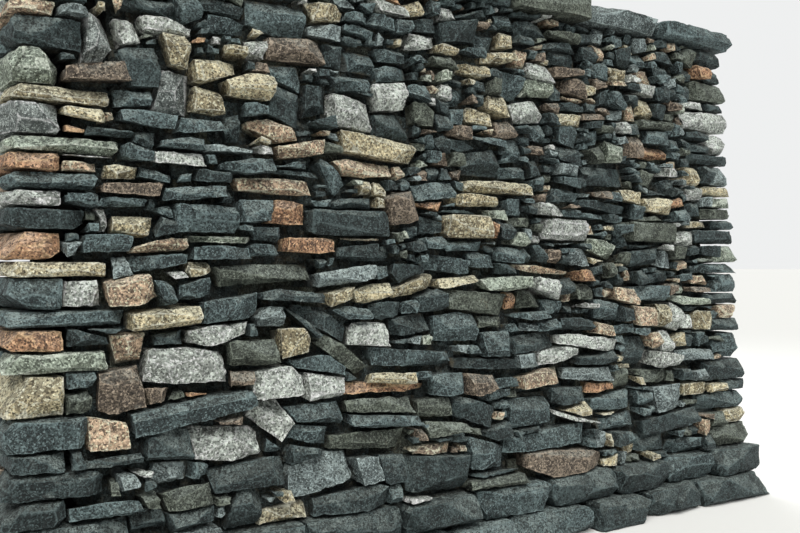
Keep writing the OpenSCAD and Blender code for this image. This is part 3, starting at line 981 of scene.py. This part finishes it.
# How far the fronts of face stones stand out of the face: usual, least and most, and how much less
# that is for a narrow stone
STAND_OUT = 0.009
LEAST_OUT = -0.016
MOST_OUT = 0.038
NARROW = 0.065
NARROW_SET_BACK = 0.010

# Plain stones behind a face: how much larger than their boxes, how long into the wall, how far they
# stray in depth, how their fronts lie back and slope, the spread of their turn in degrees, and how far
# from the ends of the wall they stop
BACKING_GROWTH = 0.012
BACKING_TAIL = 0.060
BACKING_STRAY = 0.016
BACKING_FRONT = 0.003
BACKING_SLOPE = 0.2
BACKING_TURN = 4
BACKING_STOP = 0.12


def set_in_face(stone, x, y, z, turn, lean, side):
    """Turns and leans a stone, and moves it to its place in the front or the back face."""
    place = Matrix.Translation((x, y, z)) @ Matrix.Rotation(turn, 4, "Z") @ Matrix.Rotation(lean, 4, "X")
    if side == -1:
        place = Matrix.Rotation(math.pi, 4, "Z") @ place
    bmesh.ops.transform(stone, matrix=place, verts=stone.verts[:])


def lay_face_stone(kind, form, box, turn, planes, side, settings, chance):
    """One finished face stone in its place, grown from its box up to its neighbours."""
    x0, x1, z0, z1 = box
    x, z = (x0 + x1) / 2, (z0 + z1) / 2
    room = chance.uniform(*GROWTH_SHARE) * settings.growth
    width, height = x1 - x0 + 2 * room, z1 - z0 + 2 * room
    tail = min(settings.tail, LEAST_TAIL + TAIL_TO_WIDTH * width) * chance.uniform(*TAIL_SHARE)
    stone = rough_out(width, height, tail, form, chance)
    bmesh.ops.rotate(stone, matrix=Matrix.Rotation(-turn, 3, "Y"), verts=stone.verts[:])
    beds = [(Vector((0, FOOTING_TOP + BED_JOINT)), Vector((0, -1))),
            (Vector((0, COPE_BED - BED_JOINT)), Vector((0, 1)))]
    for point, way in planes + beds:
        way = Vector((way.x, chance.uniform(*TAIL_NARROWING), way.y))
        cut(stone, Vector((point.x - x, 0, point.y - z)), way)
    if len(stone.verts) < LEAST_CORNERS:
        stone.free()
        return None
    deepest = min(settings.facets, DEEPEST_BREAK * min(width, height))
    break_front(stone, Vector((0, -1, 0)), chance, deepest)
    out = bounded(chance.gauss(STAND_OUT, settings.relief), LEAST_OUT, MOST_OUT)
    if width < NARROW:
        out -= NARROW_SET_BACK
    turn = math.radians(chance.gauss(0, SIDEWAYS_TURN)) * min(1, TURNED_WIDTH / width)
    lean = math.radians(chance.gauss(0, FORWARD_LEAN))
    set_in_face(stone, x, -face_y(z) - out, z, turn, lean, side)
    break_surface(stone, depth_in_wall, settings.kinds[kind].roundness, settings, chance)
    return stone


def lay_backing_stone(box, side, settings, chance):
    """One plain stone behind a face, seen only through the open joints."""
    x0, x1, z0, z1 = box
    x, z = (x0 + x1) / 2, (z0 + z1) / 2
    stone = rough_out(x1 - x0 + BACKING_GROWTH, z1 - z0 + BACKING_GROWTH, BACKING_TAIL, "", chance)
    slopes = [chance.gauss(0, BACKING_SLOPE) for _ in range(2)]
    cut(stone, Vector((0, BACKING_FRONT, 0)), Vector((slopes[0], -1, slopes[1])))
    for e in stone.edges:
        e.smooth = False
    # The plain stones take the earth and painted shade of the joints, and no worn arrises
    for name, value in (("wear", 0.0), ("recess", settings.backing_earth)):
        layer = stone.verts.layers.float.new(name)
        for v in stone.verts:
            v[layer] = value
    y = settings.backing_depth + chance.uniform(0, BACKING_STRAY) - face_y(z)
    set_in_face(stone, x, y, z, math.radians(chance.gauss(0, BACKING_TURN)), 0, side)
    return stone


def lay_face(name, side, settings):
    """Makes the pieces of one face: granites and other stones, below and above the through stones' bed."""
    def level_of(box):
        return "lower" if (box[2] + box[3]) / 2 < THROUGH_BED else "upper"

    chance = random.Random(settings.seed + side)
    heaps = {}
    stones, fixed = lay_out_face(side, chance)
    for (kind, form, box, turn), planes in zip(stones, joints(stones, fixed, settings, chance)):
        stone = lay_face_stone(kind, form, box, turn, planes, side, settings, chance)
        if stone is None:
            continue
        family = "granite" if kind in GRANITES else "dolerite"
        heap = heaps.setdefault((level_of(box), family), Heap())
        upright = box[3] - box[2] > ON_END * (box[1] - box[0])
        heap.lay(stone, kind, turn + (math.pi / 2 if upright else 0), chance)
    chance = random.Random(settings.seed + 10 * side)
    for box in Layout().fill(chance):
        if max(abs(box[0]), abs(box[1])) < END_HEAD - BACKING_STOP:
            stone = lay_backing_stone(box, side, settings, chance)
            heaps[level_of(box), "dolerite"].lay(stone, chance.choice(BACKING_KINDS), 0, chance)
    for (level, family), heap in sorted(heaps.items()):
        node = f"{name}_face_{level}"
        heap.finish(f"{node}_{family}", "face_stone", node)


# Finishes

# Ochre stain, and the pale crust that settles on what looks upwards; that crust is also painted light from
# above
OCHRE = (0.150, 0.105, 0.055)
CRUST = (0.34, 0.39, 0.36)


class Finish:
    """Short ways to place and join the nodes of one tree."""

    def __init__(self, tree):
        self.tree = tree

    def feed(self, socket, value):
        """Links a socket to another, or sets its value."""
        if isinstance(value, bpy.types.NodeSocket):
            self.tree.links.new(value, socket)
        else:
            socket.default_value = value

    def fill(self, made, **values):
        """Feeds the sockets of a node by name, with _ for a space."""
        for name, value in values.items():
            self.feed(made.inputs[name.replace("_", " ")], value)

    def node(self, kind, *first, **values):
        """A node, whose first sockets are fed in order.

        Names in small letters are its properties, and the others its sockets, with _ for a space.
        """
        made = self.tree.nodes.new(kind)
        sockets = dict(values)
        for name in filter(str.islower, values):
            setattr(made, name, sockets.pop(name))
        for socket, value in zip(made.inputs, first):
            self.feed(socket, value)
        self.fill(made, **sockets)
        return made

    def effect(self, group, place, **values):
        """The outputs of a shared effect, placed with its own values."""
        return self.node("ShaderNodeGroup", place, node_tree=group(), **values).outputs

    def maths(self, operation, a, b, clamp=False):
        """A sum, product or other number from two."""
        return self.node("ShaderNodeMath", a, b, operation=operation, use_clamp=clamp).outputs[0]

    def around(self, value, weight):
        """A value from 0 to 1 made one that lies around 0 and is as wide as its weight."""
        return self.maths("MULTIPLY", self.maths("SUBTRACT", value, 0.5), weight)

    def vector(self, operation, a, b):
        """A vector from two vectors, or from a vector and a number."""
        made = self.node("ShaderNodeVectorMath", a, operation=operation)
        self.feed(made.inputs["Scale" if operation == "SCALE" else 1], b)
        return made.outputs["Value" if operation == "DOT_PRODUCT" else "Vector"]

    def mix(self, factor, a, b):
        """A colour between two."""
        made = self.node("ShaderNodeMix", factor, data_type="RGBA")
        for socket, value in zip(made.inputs[6:8], (a, b)):
            self.feed(socket, value if isinstance(value, bpy.types.NodeSocket) else (*value, 1.0))
        return made.outputs[2]

    def cover(self, colour, over, mask, strength):
        """A colour with another laid over it where a mask shows, up to a strength."""
        return self.mix(self.maths("MULTIPLY", mask, strength), colour, over)

    def channels(self, colour):
        """The red, green and blue of a colour."""
        return self.node("ShaderNodeSeparateColor", colour).outputs[:3]

    def ramp(self, value, low, high):
        """0 at low, 1 at high, and smooth between them."""
        return self.node("ShaderNodeMapRange", value, low, high, interpolation_type="SMOOTHSTEP").outputs[0]

    def noise(self, place, scale, detail, rough):
        """Soft noise from 0 to 1."""
        made = self.node("ShaderNodeTexNoise", place, Scale=scale, Detail=detail, Roughness=rough)
        return made.outputs["Fac"]

    def bent(self, place, scale, detail, by):
        """A place moved about by soft noise, so that cells drawn there have uneven sides."""
        made = self.node("ShaderNodeTexNoise", place, Scale=scale, Detail=detail)
        return self.vector("ADD", place, self.vector("SCALE", made.outputs["Color"], by))

    def cells(self, place, scale, feature="F1"):
        """A Voronoi texture, whose cells are mineral grains or broken flakes."""
        return self.node("ShaderNodeTexVoronoi", place, feature=feature, Scale=scale).outputs

    def facets(self, cells, place, tilt):
        """Height of small flat faces, one to a cell, each of which leans its own way."""
        lean = self.vector("SUBTRACT", cells["Color"], (0.5, 0.5, 0.5))
        away = self.vector("SUBTRACT", place, cells["Position"])
        return self.maths("MULTIPLY", self.vector("DOT_PRODUCT", lean, away), tilt)

    def bump(self, height, distance):
        """A normal bent by a height."""
        return self.node("ShaderNodeBump", Strength=1.0, Distance=distance, Height=height).outputs[0]


def shared_effect(outputs=("Mask",), **inputs):
    """Makes a function that works out an effect give its node group, which is made once.

    The group takes a vector and these numbers, and gives a number for each output.
    """
    def as_group(work_out):
        title = work_out.__name__.replace("_", " ").capitalize()

        def group():
            if title in bpy.data.node_groups:
                return bpy.data.node_groups[title]
            tree = bpy.data.node_groups.new(title, "ShaderNodeTree")
            tree.interface.new_socket(name="Vector", in_out="INPUT", socket_type="NodeSocketVector")
            for name, default in inputs.items():
                socket = tree.interface.new_socket(name=name, in_out="INPUT", socket_type="NodeSocketFloat")
                socket.default_value = default
            for name in outputs:
                tree.interface.new_socket(name=name, in_out="OUTPUT", socket_type="NodeSocketFloat")
            f = Finish(tree)
            values = work_out(f, **{s.name.lower(): s for s in f.node("NodeGroupInput").outputs if s.name})
            f.node("NodeGroupOutput", *values)
            return tree
        return group
    return as_group


@shared_effect(outputs=("Tone", "Tint"), Size=0.004)
def mineral_grains(f, vector, size):
    """Two tones of each mineral grain of a real size, from 0 to 1."""
    cells = f.cells(f.bent(vector, scale=260.0, detail=2.5, by=0.0080), f.maths("DIVIDE", 1.0, size))
    return f.channels(cells["Color"])[:2]


@shared_effect(Strength=0.2)
def bedding_bands(f, vector, strength):
    """Mask of thin uneven bands along the bed of a stone."""
    flat = f.node("ShaderNodeMapping", vector, vector_type="POINT",
                  Scale=(7.0, 7.0, 110.0), Rotation=(0.05, 0.12, 0.0))
    bands = f.noise(flat.outputs[0], scale=1.0, detail=3.0, rough=0.6)
    return [f.maths("MULTIPLY", f.ramp(bands, 0.42, 0.66), strength)]


@shared_effect(Wear=0.0)
def worn_arris(f, vector, wear):
    """Mask of the pale, bruised edges of a stone: worn arrises, and painted highlights where they catch the
    light.
    """
    ragged = f.noise(vector, scale=120.0, detail=3.0, rough=0.65)
    return [f.ramp(f.maths("ADD", wear, f.around(ragged, 0.9)), 0.56, 1.04)]


@shared_effect()
def upper_dust(f, vector):
    """Mask of what looks upwards, where a pale dusty crust lies and where painted light from above makes the
    stone lighter.
    """
    normal = f.node("ShaderNodeSeparateXYZ", f.node("ShaderNodeNewGeometry").outputs["Normal"])
    patchy = f.noise(vector, scale=42.0, detail=5.0, rough=0.7)
    return [f.ramp(f.maths("ADD", normal.outputs["Z"], f.around(patchy, 1.1)), 0.10, 0.80)]


@shared_effect(Recess=0.0)
def joint_earth(f, vector, recess):
    """Mask of the earth and damp, and the painted shade, that darken a stone deep in its joint."""
    patchy = f.noise(vector, scale=34.0, detail=4.0, rough=0.6)
    return [f.ramp(f.maths("ADD", recess, f.around(patchy, 0.8)), 0.42, 1.10)]


@shared_effect(outputs=("Height", "Tone"), Grain=0.003, Tilt=0.8)
def broken_face(f, vector, grain, tilt):
    """Height in metres of a surface of small planes, flakes and crystals, and the tone of each plane."""
    place = f.bent(vector, scale=46.0, detail=3.0, by=0.012)
    height = f.maths("MULTIPLY", f.noise(vector, scale=90.0, detail=4.0, rough=0.6), 0.0065)
    planes, flakes = f.cells(place, 26.0), f.cells(place, 90.0)
    for cells, steepness in ((planes, 1.1), (flakes, 1.7)):
        height = f.maths("ADD", height, f.facets(cells, place, f.maths("MULTIPLY", tilt, steepness)))
    crystals = f.cells(vector, f.maths("DIVIDE", 1.0, grain))
    height = f.maths("ADD", height, f.facets(crystals, vector, 2.0))
    tones = [f.maths("MULTIPLY", f.channels(cells["Color"])[2], weight)
             for cells, weight in ((planes, 0.65), (flakes, 0.35))]
    return height, f.maths("ADD", *tones)


def shade(colour, factor, lift=0.0, most=1.0):
    """A colour made darker or lighter, up to a limit."""
    return tuple(min(factor * c + lift, most) for c in colour)


def new_material(title):
    """A material with its finish and its shader."""
    material = bpy.data.materials.new(title)
    material.use_nodes = True
    return material, Finish(material.node_tree), material.node_tree.nodes["Principled BSDF"]


def stone_material(key):
    """The finish of one kind of stone."""
    wall = bpy.context.scene.wall
    kind = wall.kinds[key]
    if kind.title in bpy.data.materials:
        return bpy.data.materials[kind.title]
    material, f, shader = new_material(kind.title)
    place, wear, recess, tone = (
        f.node("ShaderNodeAttribute", attribute_name=name).outputs[output]
        for name, output in (("grain", "Vector"), ("wear", "Fac"), ("recess", "Fac"), ("tone", "Fac")))

    # How light the stone is at each point
    mottle = f.noise(place, scale=24.0, detail=6.0, rough=0.70)
    patch = f.noise(place, scale=7.0, detail=2.0, rough=0.5)
    spots = f.noise(place, scale=150.0, detail=3.0, rough=0.65)
    grains = f.effect(mineral_grains, place, Size=kind.grain)
    clusters = f.effect(mineral_grains, place, Size=2.6 * kind.grain)
    broken = f.effect(broken_face, place, Grain=kind.grain, Tilt=1.0 - 0.55 * kind.roundness)
    level = f.around(mottle, 1.7)
    for value, weight in ((patch, 0.8), (spots, kind.blotch), (tone, 0.6), (grains["Tone"], kind.amount),
                          (clusters["Tone"], 0.22 * kind.amount),
                          (broken["Tone"], 1.5 - 0.5 * kind.roundness)):
        level = f.maths("ADD", level, f.around(value, weight))
    level = f.maths("ADD", level, 0.47, clamp=True)

    # What lies in and on it, from the bedding to the earth, with painted light, highlights and shade
    bands = f.effect(bedding_bands, place, Strength=kind.bands)["Mask"]
    colour = f.mix(bands, f.mix(level, kind.dark, kind.light), shade(kind.dark, 0.6))
    rust = f.noise(place, scale=13.0, detail=5.0, rough=0.7)
    colour = f.cover(colour, OCHRE, f.ramp(rust, 0.70 - 0.5 * kind.stain, 0.84 - 0.5 * kind.stain), 0.5)
    # Pale crust on what looks upwards, which is also painted light from above: upward faces are made lighter
    crust = tuple(0.55 * c + 0.45 * e for c, e in zip(kind.light, CRUST))
    dust_and_top_light = f.mix(level, shade(crust, 0.45), shade(crust, 1.35))
    colour = f.cover(colour, dust_and_top_light, f.effect(upper_dust, place)["Mask"], 0.80)
    colour = f.cover(colour, kind.speck, f.ramp(grains["Tint"], 0.25, 0.17), 0.80)
    colour = f.cover(colour, shade(kind.light, 1.45, 0.02, 0.8), f.ramp(grains["Tint"], 0.84, 0.90), 0.65)
    # Worn arrises painted paler: wear, and painted highlights where the arrises catch the light
    bruise_and_highlight = shade(kind.light, 1.5, 0.02, 0.75)
    colour = f.cover(colour, bruise_and_highlight, f.effect(worn_arris, place, Wear=wear)["Mask"], 0.60)
    # Earth deep in the joints, near-black, which is also painted shade there
    earth = f.cover(wall.earth, wall.dry_earth, f.ramp(mottle, 0.46, 0.66), 0.9)
    colour = f.cover(colour, earth, f.effect(joint_earth, place, Recess=recess)["Mask"], 0.85)

    roughness = f.maths("SUBTRACT", 0.90, f.maths("MULTIPLY", level, 0.15))
    f.fill(shader, Base_Color=colour, Roughness=roughness, Specular_IOR_Level=0.35,
           Normal=f.bump(broken["Height"], 1.0))
    return material


def hearting_material():
    """Small packed stone and earth, seen only through open joints."""
    material, f, shader = new_material("packed_hearting")
    place = f.node("ShaderNodeTexCoord").outputs["Object"]
    stones, gaps = f.cells(place, 24.0), f.cells(place, 24.0, "DISTANCE_TO_EDGE")["Distance"]
    colour = f.mix(f.channels(stones["Color"])[0], (0.020, 0.021, 0.022), (0.085, 0.080, 0.070))
    colour = f.mix(f.ramp(gaps, 0.10, 0.0), colour, (0.006, 0.005, 0.004))
    colour = f.mix(f.noise(place, scale=45.0, detail=4.0, rough=0.55), colour, (0.03, 0.025, 0.018))
    f.fill(shader, Base_Color=colour, Roughness=0.95, Normal=f.bump(f.ramp(gaps, 0.0, 0.16), 0.02))
    return material


# The stage

# Lamps: name, kind, place, size (an angle for the sun), strength in key lights, and colour.
# Then their target, the colour of the light from all round, and half the size of the floor.
LAMPS = (
    ("key", "SUN", (-1.8, -3.4, 5.4), math.radians(45), 1, (1.0, 0.985, 0.95)),
    ("side", "AREA", (5.5, -5.0, 3.0), 4.0, 15, (0.94, 0.97, 1.0)),
    ("rear", "AREA", (2.5, 4.6, 5.2), 4.0, 65, (0.97, 0.98, 1.0)),
)
LAMP_TARGET = Vector((0, 0, 1.0))
SKY = (0.93, 0.97, 1.0, 1.0)
FLOOR_HALF = 300.0

# Low beside the left end, looking along the face towards the right
EYE = (-1.92, -2.75, 0.97)
LOOK = Vector((0.555, 0.832, 0.0))
LENS = 40.5
SENSOR = 36.0


def lay_floor(scene, settings):
    """Lays the pale studio floor."""
    ground = bmesh.new()
    bmesh.ops.create_grid(ground, x_segments=1, y_segments=1, size=FLOOR_HALF)
    mesh = bpy.data.meshes.new("studio_floor")
    ground.to_mesh(mesh)
    ground.free()
    floor = bpy.data.objects.new("studio_floor", mesh)
    scene.collection.objects.link(floor)
    material, f, shader = new_material("studio_floor")
    f.fill(shader, Base_Color=(*settings.floor, 1.0), Roughness=0.9)
    mesh.materials.append(material)


def hang_lamp(scene, settings, name, kind, spot, size, strength, colour):
    """Hangs one soft lamp that shines at the middle of the wall."""
    data = bpy.data.lights.new(name, kind)
    data.energy = strength * settings.key_light
    data.color = colour
    if kind == "SUN":
        data.angle = size
    else:
        data.shape = "DISK"
        data.size = size
    lamp = bpy.data.objects.new(name, data)
    lamp.location = spot
    lamp.rotation_euler = (LAMP_TARGET - Vector(spot)).to_track_quat("-Z", "Y").to_euler()
    scene.collection.objects.link(lamp)


def light_world(scene, settings):
    """Lights the scene from all round, before a plain pale backdrop."""
    scene.world = scene.world or bpy.data.worlds.new("studio")
    scene.world.use_nodes = True
    scene.world.node_tree.nodes.clear()
    f = Finish(scene.world.node_tree)
    path = f.node("ShaderNodeLightPath").outputs
    seen = f.maths("MAXIMUM", path["Is Camera Ray"],
                   f.maths("MAXIMUM", path["Is Glossy Ray"], path["Is Transmission Ray"]))
    light = f.node("ShaderNodeBackground", Color=SKY, Strength=settings.fill_light)
    backdrop = f.node("ShaderNodeBackground", Color=(*settings.backdrop, 1.0), Strength=1.0)
    both = f.node("ShaderNodeMixShader", seen, light.outputs[0], backdrop.outputs[0])
    f.node("ShaderNodeOutputWorld", both.outputs[0])


def place_camera(scene):
    """Places the camera at the photograph's viewing angle."""
    data = bpy.data.cameras.new("camera")
    data.sensor_width = SENSOR
    data.lens = LENS
    camera = bpy.data.objects.new("camera", data)
    camera.location = EYE
    camera.rotation_euler = LOOK.to_track_quat("-Z", "Y").to_euler()
    scene.collection.objects.link(camera)
    scene.camera = camera


# Operators

class WALL_OT_lay_footing(bpy.types.Operator):
    """Lay the two courses of footing stones along both faces and under the ends"""

    bl_idname = "wall.lay_footing"
    bl_label = "Lay footing"

    def execute(self, context):
        for node in ("footing_front", "footing_back", "footing_left", "footing_right"):
            lay_frame_stones(node, "footing_stone", lambda stone, chance: chance.choice(FOOTING_KINDS),
                             context.scene.wall, FOOTING_BREAK)
        return {"FINISHED"}


class WALL_OT_pack_hearting(bpy.types.Operator):
    """Finish the packing of small stone between the faces"""

    bl_idname = "wall.pack_hearting"
    bl_label = "Pack hearting"

    def execute(self, context):
        material = hearting_material()
        for node in ("hearting_lower", "hearting_upper"):
            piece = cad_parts[node]
            piece.data.materials.clear()
            piece.data.materials.append(material)
        return {"FINISHED"}


class WALL_OT_lay_faces(bpy.types.Operator):
    """Lay the rubble of the front and back faces, below and above the through stones' bed"""

    bl_idname = "wall.lay_faces"
    bl_label = "Lay faces"

    def execute(self, context):
        for side, name in ((1, "front"), (-1, "back")):
            lay_face(name, side, context.scene.wall)
        return {"FINISHED"}


class WALL_OT_lay_ends(bpy.types.Operator):
    """Lay the ties, runners and middle stones of both cheek ends"""

    bl_idname = "wall.lay_ends"
    bl_label = "Lay cheek ends"

    def execute(self, context):
        beds = sorted({round(low.z, 3) for node in ("left_end_ties", "left_end_front_runners")
                       for low, high in stone_boxes(node)})

        def marked(stone, chance):
            low = box_of(stone)[0].z
            return FRONT_LEFT_COURSES[min(range(len(beds)), key=lambda course: abs(beds[course] - low))]

        def other(stone, chance):
            return pick(OTHER_KINDS, chance)

        for side in ("left", "right"):
            for part in ("ties", "front_runners", "back_runners", "middle_stones"):
                kind_of = marked if side == "left" and part in ("ties", "front_runners") else other
                lay_frame_stones(f"{side}_end_{part}", "end_stone", kind_of, context.scene.wall, END_BREAK)
        return {"FINISHED"}


class WALL_OT_lay_through_stones(bpy.types.Operator):
    """Lay the through stones, which tie the two faces together"""

    bl_idname = "wall.lay_through_stones"
    bl_label = "Lay through stones"

    def execute(self, context):
        for node, kind in zip(nodes_called("through_stone"), THROUGH_KINDS):
            lay_frame_stones(node, "through_stone", lambda stone, chance: kind,
                             context.scene.wall, THROUGH_BREAK)
        return {"FINISHED"}


class WALL_OT_lay_cope(bpy.types.Operator):
    """Lay the cope slabs on the head of the wall"""

    bl_idname = "wall.lay_cope"
    bl_label = "Lay cope"

    def execute(self, context):
        for node, kind in zip(nodes_called("cope_slab"), COPE_KINDS):
            lay_frame_stones(node, "cope_stone", lambda stone, chance: kind,
                             context.scene.wall, COPE_BREAK, depth_in_cope, COPE_PITCH)
        return {"FINISHED"}


class WALL_OT_set_stage(bpy.types.Operator):
    """Set the studio floor, the lights and the camera at the photograph's viewing angle"""

    bl_idname = "wall.set_stage"
    bl_label = "Set stage"

    def execute(self, context):
        scene = context.scene
        lay_floor(scene, scene.wall)
        for lamp in LAMPS:
            hang_lamp(scene, scene.wall, *lamp)
        light_world(scene, scene.wall)
        place_camera(scene)
        scene.view_settings.view_transform = "Standard"
        return {"FINISHED"}


class WALL_PT_tools(bpy.types.Panel):
    """Buttons for laying the wall, in the order of the work"""

    bl_idname = "WALL_PT_tools"
    bl_label = "Dry stone wall"
    bl_space_type = "VIEW_3D"
    bl_region_type = "UI"
    bl_category = "Wall"

    def draw(self, context):
        for name in WallSettings.__annotations__:
            if name != "kinds":
                self.layout.prop(context.scene.wall, name)
        for step in STEPS:
            self.layout.operator(step.bl_idname)


STEPS = (
    WALL_OT_lay_footing, WALL_OT_pack_hearting, WALL_OT_lay_faces, WALL_OT_lay_ends,
    WALL_OT_lay_through_stones, WALL_OT_lay_cope, WALL_OT_set_stage,
)
CLASSES = (StoneKind, WallSettings, *STEPS, WALL_PT_tools)


def register():
    """Registers the classes, and fills in the kinds of stone."""
    for made in CLASSES:
        bpy.utils.register_class(made)
    bpy.types.Scene.wall = PointerProperty(type=WallSettings)
    for key, values in STONE_KINDS.items():
        kind = bpy.context.scene.wall.kinds.add()
        kind.name = key
        for field, value in zip(StoneKind.__annotations__, values):
            setattr(kind, field, value)


def unregister():
    """Takes the classes away again."""
    del bpy.types.Scene.wall
    for made in reversed(CLASSES):
        bpy.utils.unregister_class(made)


def main():
    """Builds the wall and its stage."""
    register()
    for step in STEPS:
        area, name = step.bl_idname.split(".")
        getattr(getattr(bpy.ops, area), name)()


if __name__ == "__main__":
    main()
